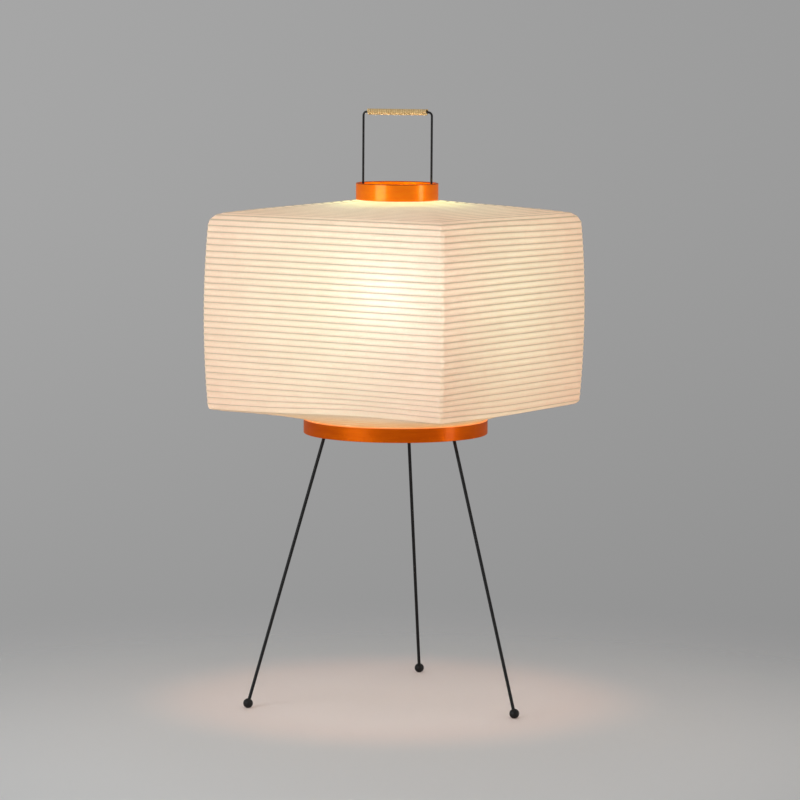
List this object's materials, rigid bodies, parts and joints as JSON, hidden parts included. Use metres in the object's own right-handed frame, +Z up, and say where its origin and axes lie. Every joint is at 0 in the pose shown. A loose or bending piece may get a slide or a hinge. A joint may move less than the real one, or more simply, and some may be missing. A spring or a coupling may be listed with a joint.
{
  "type": "paper table lamp",
  "caption": "Table lamp with a square ribbed paper shade between orange bentwood hoops, on splayed black wire legs with ball feet, with a wire bow handle wound with cane.",
  "frame": {"origin": "on the floor under the lamp's axis, where the two hoops, the stem and the bulb are centred", "axes": "+Z up along the lamp's axis; X and Y square to the shade's sides, with the front side facing -Y"},
  "size_m": [0.3657, 0.3538, 0.731],
  "materials": {
    "black_wire": "satin black enamel",
    "plated_steel": "zinc plated",
    "bentwood": "orange lacquer over bent wood",
    "paper": "translucent long-fibre paper",
    "bamboo": "split bamboo",
    "cane": "peeled cane",
    "dark_plastic": "moulded, matt",
    "porcelain": "unglazed",
    "brass": "pressed",
    "cap_metal": "rolled thread",
    "black_glass": "vitrite",
    "opal_glass": "opal, lit",
    "clear_glass": "clear",
    "filament": "phosphor coated"
  },
  "bodies": {
    "stand": {"foot_ball_right": "black_wire", "foot_ball_back": "black_wire", "foot_ball_left": "black_wire", "leg_right": "black_wire", "leg_back": "black_wire", "leg_left": "black_wire", "stand_ring": "black_wire", "cross_strap": "black_wire", "stretcher_bow": "black_wire", "strap_screws": "plated_steel", "strap_nuts": "plated_steel", "bow_nuts": "plated_steel", "stem_nuts": "plated_steel", "socket_stem": "plated_steel", "bottom_hoop": "bentwood", "paper_front": "paper", "paper_right": "paper", "paper_back": "paper", "paper_left": "paper", "rib_spiral": "bamboo", "grip_wrap": "cane", "cord_bush": "dark_plastic", "holder_cap": "dark_plastic", "holder_sleeve": "dark_plastic", "holder_core": "porcelain", "holder_thread": "brass", "holder_tongue": "brass", "holder_terminals": "brass"},
    "top_hoop": {"top_hoop": "bentwood", "hoop_clip_right": "plated_steel", "hoop_clip_left": "plated_steel", "clip_rivets": "plated_steel"},
    "bulb_base": {"bulb_contact": "brass"},
    "bulb": {"bulb_glass": "opal_glass", "bulb_cap": "cap_metal", "bulb_insulator": "black_glass", "bulb_mount": "clear_glass", "bulb_filaments": "filament"}
  },
  "joints": [
    {"name": "shade_fold", "type": "slide", "parent": "stand", "child": "top_hoop", "axis": [0, 0, 1], "range_m": [-0.2, 0], "deforming": ["paper_front", "paper_right", "paper_back", "paper_left", "rib_spiral"]},
    {"name": "bulb_rise", "type": "slide", "parent": "stand", "child": "bulb_base", "axis": [0, 0, 1], "range_m": [0, 0.022]},
    {"name": "bulb_turn", "type": "hinge", "parent": "bulb_base", "child": "bulb", "pos_m": [0, 0, 0.45], "axis": [0, 0, 1], "range_deg": [0, 2160]}
  ],
  "couplings": [
    {"joint": "bulb_rise", "follows": "bulb_turn", "m_per_rad": 0.00057757}
  ]
}
